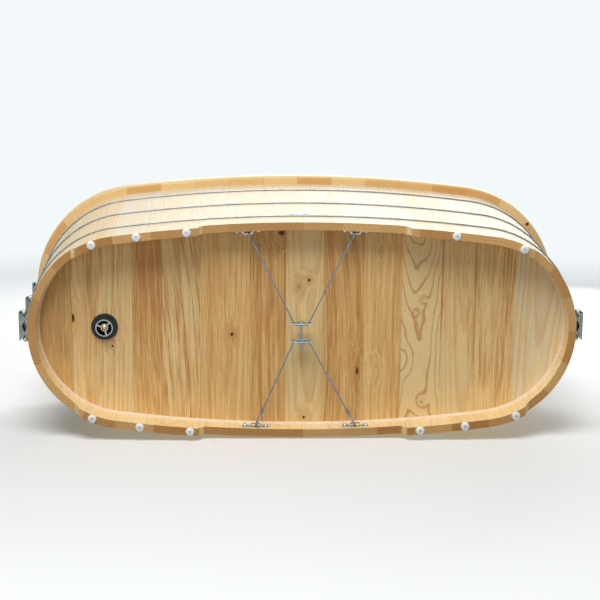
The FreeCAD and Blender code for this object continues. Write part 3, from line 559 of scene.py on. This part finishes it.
boards = {
    "easing": 0.0006,
    "smoothAngle": 19,
    "seed": 5,
    "pithAcross": (-0.03, 0.03),
    "pithBelow": (0.04, 0.09),
    "slip": (0, 9),
    "plain": {"ring": 0.0085, "warp": 0.007, "warpScale": (12, 12, 1.0), "profile": straightProfile,
              "line": 0.36, "streak": 0.46, "streakScale": (150, 150, 0.5), "thread": 0.40, "fibre": 0.38,
              "lean": 0.0, "sweep": 0.0, "slope": 0.03, "bow": 0.0, "fade": 0.4,
              "tints": ((0.0, "straw"), (0.5, "honey"), (1.0, "russet"))},
    "each": [
        # painted shade: the first board gets a darker tone and olive tints, standing in for the shade of the
        # end wall
        {"tone": 0.80, "streak": 0.3, "fibre": 0.55, "line": 0.22, "fade": 1.0,
         "bands": [(-0.73, 0.05, 0.2)],
         "tints": ((0.0, "straw"), (0.5, "honey"), (1.0, "olive"))},
        {"tone": 0.45, "streak": 0.38, "streakScale": (160, 160, 0.3), "warp": 0.005, "tints": fairTints,
         "lean": -0.01, "fade": 0.8,
         "bands": [(-0.585, 0.016, 0.16), (-0.5535, 0.003, 0.22), (-0.546, 0.0024, -0.5),
                   (-0.5346, 0.0028, -0.5), (-0.5206, 0.0036, 0.26), (-0.513, 0.0024, -0.45),
                   (-0.469, 0.005, -0.3)],
         "knots": [knot(-0.6313, -0.0237, 0.006, 2.6), knot(-0.5250, 0.0556, 0.0042)]},
        {"tone": 0.78, "fibre": 0.55, "streak": 0.36, "thread": 0.60, "ring": 0.0042, "line": 0.40,
         "lean": 0.02, "fade": 1.9,
         "bands": [(-0.436, 0.006, 0.15), (-0.385, 0.012, 0.14)]},
        {"tone": 0.51, "streak": 0.62, "streakScale": (140, 140, 0.3), "thread": 0.46, "tints": fairTints,
         "lean": 0.07, "sweep": -0.12,
         "bands": [(-0.357, 0.006, -0.25), (-0.325, 0.004, 0.24), (-0.293, 0.003, -0.25)]},
        {"tone": 0.38, "streak": 0.38,
         "bands": [(-0.255, 0.006, 0.16), (-0.141, 0.009, -0.32)],
         "knots": [knot(-0.1959, 0.0229, 0.0048, 1.3)]},
        {"tone": 0.64, "streak": 0.44, "streakScale": (120, 120, 0.3),
         "bands": [(-0.120, 0.006, 0.24), (-0.092, 0.005, 0.14), (-0.075, 0.006, -0.14),
                   (-0.0605, 0.002, 0.26), (-0.0513, 0.002, 0.26), (-0.044, 0.002, 0.28),
                   (-0.0385, 0.002, 0.3)],
         "knots": [knot(-0.0593, -0.262, 0.011)]},
        {"tone": 0.30, "streak": 0.34, "tints": fairTints,
         "bands": [(0.0515, 0.0016, 0.24), (0.0625, 0.0018, 0.26)],
         "knots": [knot(0.0155, -0.1303, 0.0050), knot(-0.0118, -0.1107, 0.0046, 1.6, dark=0.3, glow=1.5),
                   knot(0.0053, 0.2620, 0.0055)]},
        {"tone": 0.60, "streak": 0.40, "streakScale": (130, 130, 0.3), "lean": 0.03, "sweep": -0.20,
         "bands": [(0.069, 0.003, 0.26), (0.090, 0.014, 0.14), (0.120, 0.010, -0.12),
                   (0.155, 0.006, 0.30)],
         "knots": [knot(0.1518, 0.1285, 0.0044, 3.0)]},
        {"tone": 0.38, "streak": 0.40,
         "bands": [(0.181, 0.009, -0.3), (0.251, 0.006, 0.24), (0.269, 0.003, 0.26)],
         "knots": [knot(0.2079, -0.2114, 0.0034, 1.4, dark=0.25),
                   knot(0.1950, 0.1300, 0.005, 1.6, 0.026, 0.010, 0.0)]},
        {"tone": 0.22, "streak": 0.25, "ring": 0.0105, "warp": 0.016, "warpScale": (22, 22, 9),
         "slope": 0.07, "bow": -0.33, "profile": contourProfile, "line": 0.66,
         "lineTone": (0.40, 0.145, 0.026), "pith": (0.012, 0.0726), "tints": fairTints,
         "knots": [knot(0.3310, -0.0769, 0.0028, spread=0.012, sink=0.009, dark=0.5),
                   knot(0.3139, -0.0409, 0.002, 1.6, dark=0.5),
                   knot(0.2740, 0.0902, 0.004, 1.4, 0.036, 0.0128, 0.0),
                   knot(0.3333, 0.2178, 0.0028, 1.25, 0.030, 0.014, 0.6)]},
        {"tone": 0.42, "streak": 0.36, "streakScale": (130, 130, 0.25), "tints": fairTints, "fade": 2.0,
         "bands": [(0.381, 0.0045, 0.42), (0.405, 0.010, -0.08), (0.476, 0.0055, 0.46),
                   (0.462, 0.008, 0.12)]},
        {"tone": 0.51, "streak": 0.36, "streakScale": (130, 130, 0.25), "thread": 0.50, "tints": fairTints,
         "lean": -0.02,
         "bands": [(0.490, 0.004, -0.2), (0.557, 0.011, 0.22)]},
        {"tone": 0.37, "streak": 0.26, "streakScale": (120, 120, 0.25), "thread": 0.26, "lean": -0.08,
         "bands": [(0.585, 0.014, -0.07)],
         "tints": ((0.0, "cream"), (0.44, "pale"), (1.0, "honey"))},
    ],
}


def dressBoards():
    dice = random.Random(boards["seed"])
    for number, own in enumerate(boards["each"], start=1):
        nodeName = f"bottom_board_{number:02d}"
        look = {**boards["plain"], **own}
        mesh = copyMesh(nodeName, boards["easing"])[0]
        points = readValues(mesh.vertices, "co", 3)
        low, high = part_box(nodeName)
        pith = look.get("pith") or (dice.uniform(*boards["pithAcross"]), dice.uniform(*boards["pithBelow"]))
        slip = dice.uniform(*boards["slip"])
        grain = np.column_stack((points[:, 0] - (low.x + high.x) / 2 + pith[0],
                                 points[:, 2] - low.z + pith[1],
                                 points[:, 1] + slip))
        smoothShade(mesh, boards["smoothAngle"])
        writeGrain(mesh, grain, np.full(len(points), look["tone"]))
        addPiece(nodeName + "_finish", mesh, woodMaterial(f"boardWood{number:02d}", look), nodeName)
    print("bottom boards dressed")


# Rim: glued up from upright blocks as wide as the staves, so its underside and top are end grain

rim = {
    "smoothAngle": 19,
    "look": {"ring": 0.0062, "warp": 0.010, "warpScale": (30, 30, 1.6), "profile": straightProfile,
             "line": 0.22, "streak": 0.30, "streakScale": (95, 95, 1.3), "thread": 0.2, "fibre": 0.30,
             "endShare": 1.0,
             "endTones": ((0.88, 0.625, 0.29), (0.66, 0.33, 0.100), (0.52, 0.245, 0.072)),
             "tints": ((0.0, "pale"), (0.6, "straw"), (1.0, "honey")),
             "blocks": {"perSide": 10, "perEnd": 8, "width": 0.104, "glueLine": (0.486, 0.498),
                        "sideCount": 100.0, "endCount": 300.0, "wallCount": 30.0,  # so that no count recurs
                        "pithAcross": 0.11, "pithThrough": 0.10, "slip": 9.0, "skew": 1.4, "tone": 0.42}},
}


def dressRim():
    material = woodMaterial("oiledRimWood", rim["look"])
    for nodeName in sorted(name for name in nodes if name.startswith("rim_segment")):
        dress(nodeName, material, angle=rim["smoothAngle"])
    print("rim dressed")


# Metals, rubber and plastics

wear = {  # what all of them share
    "noiseRough": 0.6,
    "cloudDetail": 3,
    "cloudLimits": (0.3, 0.7),
    "smoothest": 0.04,
    "scratchDepth": 0.0002,
    "mottleLimits": (0.35, 0.7),
    "mottleGloss": 0.2,
    "grainDepth": 0.0003,
}

metals = {
    "hoopWire": {"colour": (0.34, 0.35, 0.36), "dull": 0.7, "rough": 0.36, "vary": 0.2, "cloudScale": 60,
                 "scratch": (300, 300, 300), "bump": 0.08},
    "lugSteel": {"colour": (0.25, 0.28, 0.275), "dull": 0.72, "rough": 0.34, "vary": 0.25, "cloudScale": 45,
                 "scratch": (220, 1400, 220), "bump": 0.10},
    "nutSteel": {"colour": (0.60, 0.58, 0.50), "dull": 0.8, "rough": 0.22, "vary": 0.15, "cloudScale": 150,
                 "scratch": (500, 500, 500), "bump": 0.05},
    "zincPlate": {"colour": (0.47, 0.57, 0.62), "dull": 0.74, "rough": 0.33, "vary": 0.3, "cloudScale": 220,
                  "scratch": (700, 700, 300), "bump": 0.12},
    "boltZinc": {"colour": (0.27, 0.38, 0.43), "dull": 0.7, "rough": 0.36, "vary": 0.3, "cloudScale": 220,
                 "scratch": (700, 1600, 700), "bump": 0.12},
    "ropeWire": {"colour": (0.29, 0.375, 0.415), "dull": 0.7, "rough": 0.36, "vary": 0.25, "cloudScale": 120,
                 "scratch": (900, 900, 900), "bump": 0.08},
    "ferrule": {"colour": (0.27, 0.31, 0.33), "dull": 0.6, "rough": 0.40, "vary": 0.25, "cloudScale": 260,
                "scratch": (800, 800, 800), "bump": 0.15},
    "drainChrome": {"colour": (0.42, 0.42, 0.44), "dull": 0.85, "rough": 0.14, "vary": 0.06, "cloudScale": 90,
                    "scratch": (600, 600, 600), "bump": 0.02,
                    # painted shade inside the pipe: near black above its foot
                    "bore": {"centre": (-0.54512, 0.0), "radius": 0.0213, "foot": 0.0845,
                             "colour": (0.012, 0.013, 0.014)}},
    "drainBrass": {"colour": (0.74, 0.50, 0.20), "dull": 0.75, "rough": 0.28, "vary": 0.2, "cloudScale": 240,
                   "scratch": (900, 900, 300), "bump": 0.08},
    "nailSteel": {"colour": (0.55, 0.53, 0.51), "dull": 0.8, "rough": 0.40, "vary": 0.2, "cloudScale": 400,
                  "scratch": (900, 900, 900), "bump": 0.08},
    "platePolish": {"colour": (0.36, 0.42, 0.48), "dull": 0.9, "rough": 0.42, "vary": 0.2, "cloudScale": 60,
                    "scratch": (90, 900, 1600), "bump": 0.06},
}

plastics = {
    "gasketRubber": {"colour": (0.012, 0.013, 0.015), "worn": (0.03, 0.031, 0.033), "rough": 0.46,
                     "mottle": 120, "grain": 900, "bump": 0.15, "shine": 0.3},
    "locknutPlastic": {"colour": (0.016, 0.017, 0.018), "worn": (0.035, 0.036, 0.038), "rough": 0.36,
                       "mottle": 160, "grain": 1200, "bump": 0.12, "shine": 0.2},
    "glidePlastic": {"colour": (0.90, 0.91, 0.91), "worn": (0.78, 0.78, 0.76), "rough": 0.30,
                     "mottle": 210, "grain": 700, "bump": 0.06, "shine": 0.5},
    "sealantBead": {"colour": (0.79, 0.63, 0.46), "worn": (0.72, 0.54, 0.36), "rough": 0.42,
                    "mottle": 70, "grain": 260, "bump": 0.30, "shine": 0.5},
}

finishOf = {
    "hoop_wire": "hoopWire", "lug_steel": "lugSteel", "nut_steel": "nutSteel", "zinc_steel": "zincPlate",
    "ferrule_metal": "ferrule", "drain_chrome": "drainChrome", "drain_brass": "drainBrass",
    "drain_rubber": "gasketRubber", "locknut_plastic": "locknutPlastic", "glide_plastic": "glidePlastic",
    "nail_steel": "nailSteel", "plate_metal": "platePolish", "sealant": "sealantBead",
}
ownFinish = {"brace_bolt": "boltZinc", "brace_nut": "boltZinc", "brace_washer": "boltZinc"}  # duller zinc
standOff = {"brace_nut": (0, 0.00002, 0)}  # the nut turns just clear of its washer


def metalMaterial(name, look):
    material, tree, shader = newMaterial(name)
    place = coordinate(tree)
    cloud = noise(tree, place, (look["cloudScale"],) * 3, wear["cloudDetail"], wear["noiseRough"])
    scratch = noise(tree, place, look["scratch"], rough=wear["noiseRough"])
    dulled = tuple(channel * look["dull"] for channel in look["colour"])
    colour = mix(tree, between(tree, cloud, *wear["cloudLimits"]), dulled, look["colour"])
    if "bore" in look:  # painted shade: the walls inside the pipe are painted near black, standing in for the shade deep in the hole
        bore = look["bore"]
        spot = split(tree, place)
        offX = calc(tree, "SUBTRACT", spot["X"], bore["centre"][0])
        offY = calc(tree, "SUBTRACT", spot["Y"], bore["centre"][1])
        within = calc(tree, "LESS_THAN", flatLength(tree, offX, offY), bore["radius"])
        aboveFoot = calc(tree, "GREATER_THAN", spot["Z"], bore["foot"])
        colour = mix(tree, calc(tree, "MULTIPLY", within, aboveFoot), colour, bore["colour"])
    feed(tree, shader.inputs["Base Color"], colour)
    shader.inputs["Metallic"].default_value = 1
    rough = calc(tree, "ADD", look["rough"], swing(tree, scratch, look["vary"]))
    feed(tree, shader.inputs["Roughness"], calc(tree, "MAXIMUM", rough, wear["smoothest"]))
    bump(tree, shader, scratch, look["bump"], wear["scratchDepth"])
    return material


def plasticMaterial(name, look):
    material, tree, shader = newMaterial(name)
    place = coordinate(tree)
    mottle = noise(tree, place, (look["mottle"],) * 3, wear["cloudDetail"], wear["noiseRough"])
    colour = mix(tree, between(tree, mottle, *wear["mottleLimits"]), look["colour"], look["worn"])
    feed(tree, shader.inputs["Base Color"], colour)
    gloss = calc(tree, "MULTIPLY", mottle, wear["mottleGloss"])
    feed(tree, shader.inputs["Roughness"], calc(tree, "ADD", look["rough"], gloss))
    shader.inputs["Specular IOR Level"].default_value = look["shine"]
    grain = noise(tree, place, (look["grain"],) * 3, rough=wear["noiseRough"])
    bump(tree, shader, grain, look["bump"], wear["grainDepth"])
    return material


def dressFittings():
    finishes = {name: metalMaterial(name, look) for name, look in metals.items()}
    finishes.update({name: plasticMaterial(name, look) for name, look in plastics.items()})
    for nodeName, slot in slotOf.items():
        if slot in finishOf:
            finish = finishes[ownFinish.get(nodeName, finishOf[slot])]
            dress(nodeName, finish, shift=standOff.get(nodeName, (0, 0, 0)))
    print("fittings dressed")
    return finishes


# Brace cables: a rope of seven wires laid round each other, along the same line as its solid.
# The line is given as corners, each with the radius of its bend in metres, and loops round the saddles.

def loop(first, middle, last, count=9):  # corners on the arc through three points
    start, end = Vector(first), Vector(last)
    toMiddle, toEnd = Vector(middle) - start, end - start
    normal = toMiddle.cross(toEnd)
    toCentre = toEnd.length_squared * normal.cross(toMiddle) + toMiddle.length_squared * toEnd.cross(normal)
    centre = start + toCentre / (2 * normal.length_squared)
    arm = start - centre
    side = normal.normalized().cross(arm)
    sweep = math.atan2((end - centre).dot(side), (end - centre).dot(arm)) % (2 * math.pi)
    turns = [sweep * step / (count - 1) for step in range(count)]
    return [(centre + arm * math.cos(turn) + side * math.sin(turn), 0) for turn in turns]


rope = {
    "radius": 0.00222,
    "lay": 0.034,
    "step": 0.0026,
    "wiresAcross": 3,
    "outerWires": 6,
    "wireSides": 8,
    "bendSteps": 5,
    "smoothAngle": 60,
    "front": [
        ((-0.12614, -0.21913, 0.05302), 0), ((-0.13902, -0.24493, 0.05302), 0.015),
        *loop((-0.14470, -0.25631, 0.06085), (-0.15287, -0.27267, 0.05063), (-0.14470, -0.25631, 0.04040)),
        ((-0.13902, -0.24493, 0.04823), 0.015), ((-0.02373, -0.01395, 0.04823), 0.006),
        ((0.01178, -0.01395, 0.04823), 0.006), ((0.12520, -0.24714, 0.04823), 0.015),
        *loop((0.12952, -0.25604, 0.04095), (0.13788, -0.27322, 0.05063), (0.12952, -0.25604, 0.06030)),
        ((0.12520, -0.24714, 0.05302), 0.015), ((0.11228, -0.22059, 0.05302), 0),
    ],
    "back": [
        ((-0.10639, 0.21721, 0.05302), 0), ((-0.11771, 0.24320, 0.05302), 0.015),
        *loop((-0.12384, 0.25728, 0.06121), (-0.13089, 0.27346, 0.05063), (-0.12384, 0.25728, 0.04004)),
        ((-0.11771, 0.24320, 0.04823), 0.015), ((-0.02396, 0.02795, 0.04823), 0.006),
        ((0.01152, 0.02795, 0.04823), 0.006), ((0.13193, 0.24751, 0.04823), 0.015),
        *loop((0.13669, 0.25618, 0.04095), (0.14587, 0.27293, 0.05063), (0.13669, 0.25618, 0.06030)),
        ((0.13193, 0.24751, 0.05302), 0.015), ((0.11773, 0.22162, 0.05302), 0),
    ],
}


def ropeTree():
    tree = bpy.data.node_groups.new("layWireRope", "GeometryNodeTree")
    tree.interface.new_socket("Geometry", in_out="INPUT", socket_type="NodeSocketGeometry")
    for label in ("Wire radius", "Lay length", "Step"):
        tree.interface.new_socket(label, in_out="INPUT", socket_type="NodeSocketFloat")
    tree.interface.new_socket("Material", in_out="INPUT", socket_type="NodeSocketMaterial")
    tree.interface.new_socket("Geometry", in_out="OUTPUT", socket_type="NodeSocketGeometry")

    def add(kind, **values):
        node = tree.nodes.new(kind)
        for key, value in values.items():
            setattr(node, key, value)
        return node

    def wire(output, target):
        tree.links.new(output, target)

    given, result = add("NodeGroupInput"), add("NodeGroupOutput")
    curve = add("GeometryNodeMeshToCurve")
    wire(given.outputs["Geometry"], curve.inputs["Mesh"])
    bend = add("GeometryNodeInputNamedAttribute", data_type="FLOAT")
    bend.inputs["Name"].default_value = "bend"
    fillet = add("GeometryNodeFilletCurve", mode="POLY")
    fillet.inputs["Limit Radius"].default_value = True
    fillet.inputs["Count"].default_value = rope["bendSteps"]
    wire(curve.outputs["Curve"], fillet.inputs["Curve"])
    wire(bend.outputs["Attribute"], fillet.inputs["Radius"])
    resample = add("GeometryNodeResampleCurve", mode="LENGTH")
    wire(fillet.outputs["Curve"], resample.inputs["Curve"])
    wire(given.outputs["Step"], resample.inputs["Length"])
    # the twist grows with the distance along the rope
    parameter = add("GeometryNodeSplineParameter")
    laid = add("ShaderNodeMath", operation="DIVIDE")
    wire(parameter.outputs["Length"], laid.inputs[0])
    wire(given.outputs["Lay length"], laid.inputs[1])
    twist = add("ShaderNodeMath", operation="MULTIPLY")
    twist.inputs[1].default_value = 2 * math.pi
    wire(laid.outputs[0], twist.inputs[0])
    tilt = add("GeometryNodeSetCurveTilt")
    wire(resample.outputs["Curve"], tilt.inputs["Curve"])
    wire(twist.outputs[0], tilt.inputs["Tilt"])
    # section: one wire in the middle and the others round it
    ring = add("GeometryNodeCurvePrimitiveCircle")
    ring.inputs["Resolution"].default_value = rope["outerWires"]
    double = add("ShaderNodeMath", operation="MULTIPLY")
    double.inputs[1].default_value = 2
    wire(given.outputs["Wire radius"], double.inputs[0])
    wire(double.outputs[0], ring.inputs["Radius"])
    places = add("GeometryNodeCurveToPoints", mode="EVALUATED")
    wire(ring.outputs["Curve"], places.inputs["Curve"])
    section = add("GeometryNodeCurvePrimitiveCircle")
    section.inputs["Resolution"].default_value = rope["wireSides"]
    wire(given.outputs["Wire radius"], section.inputs["Radius"])
    scatter = add("GeometryNodeInstanceOnPoints")
    wire(places.outputs["Points"], scatter.inputs["Points"])
    wire(section.outputs["Curve"], scatter.inputs["Instance"])
    together = add("GeometryNodeJoinGeometry")
    wire(scatter.outputs["Instances"], together.inputs[0])
    wire(section.outputs["Curve"], together.inputs[0])
    profile = add("GeometryNodeRealizeInstances")
    wire(together.outputs[0], profile.inputs[0])
    sweep = add("GeometryNodeCurveToMesh")
    sweep.inputs["Fill Caps"].default_value = True
    wire(tilt.outputs["Curve"], sweep.inputs["Curve"])
    wire(profile.outputs[0], sweep.inputs["Profile Curve"])
    realize = add("GeometryNodeRealizeInstances")
    wire(sweep.outputs["Mesh"], realize.inputs[0])
    finish = add("GeometryNodeSetMaterial")
    wire(realize.outputs[0], finish.inputs["Geometry"])
    wire(given.outputs["Material"], finish.inputs["Material"])
    wire(finish.outputs["Geometry"], result.inputs["Geometry"])
    return tree


def setInputs(modifier, values):
    for item in modifier.node_group.interface.items_tree:
        if item.item_type == "SOCKET" and item.in_out == "INPUT" and item.name in values:
            modifier[item.identifier] = values[item.name]


def bakeNodes(carrier, name):  # the evaluated result as a plain mesh
    bpy.context.view_layer.update()
    evaluated = carrier.evaluated_get(bpy.context.evaluated_depsgraph_get())
    mesh = bpy.data.meshes.new_from_object(evaluated)
    mesh.name = name
    line = carrier.data
    bpy.data.objects.remove(carrier)
    bpy.data.meshes.remove(line)
    return mesh


def layRopes(material):
    tree = ropeTree()
    for side in ("front", "back"):
        points, bends = zip(*rope[side])
        line = bpy.data.meshes.new("ropeLine")
        line.from_pydata(points, [(step, step + 1) for step in range(len(points) - 1)], [])
        writeValues(line, "bend", bends)
        carrier = bpy.data.objects.new("ropeLine", line)
        scene.collection.objects.link(carrier)
        modifier = carrier.modifiers.new("layRope", "NODES")
        modifier.node_group = tree
        setInputs(modifier, {"Wire radius": rope["radius"] / rope["wiresAcross"], "Lay length": rope["lay"],
                             "Step": rope["step"], "Material": material})
        nodeName = side + "_brace_cable"
        mesh = bakeNodes(carrier, nodeName)
        smoothShade(mesh, rope["smoothAngle"])
        addPiece(nodeName + "_rope", mesh, material, nodeName)
        print("rope", side, len(mesh.polygons), "faces")


# Stage: a floor for the tub on its side, a floor for it standing, and soft light

stage = {
    "lieNormal": (0.00316, -0.99687, 0.07898),
    "lieDrop": 0.3023,
    "standNormal": (0, 0, 1),
    "standDrop": 0.0005,
    "colour": (0.86, 0.88, 0.885),
    "reach": 12.0,
    "fade": (1.3, 5.5),
    "background": (0.90, 0.945, 0.965),
    "around": 0.27,
}

lamps = {
    "overhead": {"place": (-0.65, -4.18, -2.2), "aim": (0.0, 0.0, 0.15), "size": 3.1, "power": 192.0},
    "besideCamera": {"place": (-0.9, -0.6, -3.9), "aim": (0.0, 0.0, 0.1), "size": 2.4, "power": 16.5},
    "above": {"place": (0.6, -0.8, 3.2), "aim": (0.0, 0.0, 0.3), "size": 2.8, "power": 95.0},
    "behind": {"place": (1.2, 3.4, 1.4), "aim": (0.0, 0.0, 0.3), "size": 2.8, "power": 60.0},
}


def blendShaders(tree, share, first, second, output):
    blend = tree.nodes.new("ShaderNodeMixShader")
    feed(tree, blend.inputs[0], share)
    tree.links.new(first.outputs[0], blend.inputs[1])
    tree.links.new(second.outputs[0], blend.inputs[2])
    tree.links.new(blend.outputs[0], output.inputs["Surface"])


def floorMaterial():  # clear from below, and fading out with distance
    material, tree, shader = newMaterial("paleFloor")
    tree.nodes.remove(shader)
    matt = tree.nodes.new("ShaderNodeBsdfDiffuse")
    matt.inputs["Color"].default_value = (*stage["colour"], 1)
    clear = tree.nodes.new("ShaderNodeBsdfTransparent")
    side = tree.nodes.new("ShaderNodeNewGeometry")
    distance = calcVector(tree, "LENGTH", coordinate(tree))
    gone = calc(tree, "MAXIMUM", side.outputs["Backfacing"], between(tree, distance, *stage["fade"]))
    blendShaders(tree, gone, matt, clear, tree.nodes["Material Output"])
    return material


def makeFloor(name, normal, drop, material):
    normal = Vector(normal).normalized()
    side = normal.cross(Vector((1, 0, 0))).normalized()
    other = side.cross(normal)
    middle = -normal * drop
    reach = stage["reach"]
    corners = [middle + side * reach * sideWay + other * reach * otherWay
               for sideWay, otherWay in ((-1, -1), (1, -1), (1, 1), (-1, 1))]
    mesh = bpy.data.meshes.new(name)
    mesh.from_pydata(corners, [], [(0, 1, 2, 3)])
    if mesh.polygons[0].normal.dot(normal) < 0:
        mesh.flip_normals()
    mesh.materials.append(material)
    floor = bpy.data.objects.new(name, mesh)
    scene.collection.objects.link(floor)
    floor.visible_diffuse = False
    floor.visible_shadow = False
    floor.visible_transmission = False
    return floor


def makeWorld():
    world = bpy.data.worlds.new("studio")
    scene.world = world
    world.use_nodes = True
    tree = world.node_tree
    soft = tree.nodes["Background"]
    soft.inputs["Color"].default_value = (1, 1, 1, 1)
    soft.inputs["Strength"].default_value = stage["around"]
    seen = tree.nodes.new("ShaderNodeBackground")
    seen.inputs["Color"].default_value = (*stage["background"], 1)
    path = tree.nodes.new("ShaderNodeLightPath")
    direct = calc(tree, "MAXIMUM", path.outputs["Is Camera Ray"], path.outputs["Is Glossy Ray"])
    direct = calc(tree, "MAXIMUM", direct, path.outputs["Is Transmission Ray"])
    blendShaders(tree, direct, soft, seen, tree.nodes["World Output"])


def makeStage():
    material = floorMaterial()
    makeFloor("lyingFloor", stage["lieNormal"], stage["lieDrop"], material)
    standing = makeFloor("standingFloor", stage["standNormal"], stage["standDrop"], material)
    standing.visible_glossy = False
    makeWorld()
    for name, lamp in lamps.items():
        data = bpy.data.lights.new(name, "AREA")
        data.shape, data.size, data.energy = "DISK", lamp["size"], lamp["power"]
        light = bpy.data.objects.new(name, data)
        scene.collection.objects.link(light)
        light.location = lamp["place"]
        beam = Vector(lamp["aim"]) - Vector(lamp["place"])
        light.rotation_euler = beam.to_track_quat("-Z", "Y").to_euler()
        light.visible_camera = False
    print("stage set")


camera = {
    "place": (-0.16210, -0.91874, -3.74027),
    "turn": (167.5656, 2.1877, -0.4676),
    "lens": 85.66,
    "sensor": 36.0,
    "farthest": 200.0,
}


def makeCamera():
    data = bpy.data.cameras.new("camera")
    data.lens, data.sensor_width = camera["lens"], camera["sensor"]
    data.clip_end = camera["farthest"]
    view = bpy.data.objects.new("camera", data)
    scene.collection.objects.link(view)
    view.location = camera["place"]
    view.rotation_euler = Euler([math.radians(angle) for angle in camera["turn"]], "XYZ")
    scene.camera = view


makeCamera()
makeStage()
dressStaves()
dressBoards()
dressRim()
finishes = dressFittings()
layRopes(finishes["ropeWire"])

print("finished")
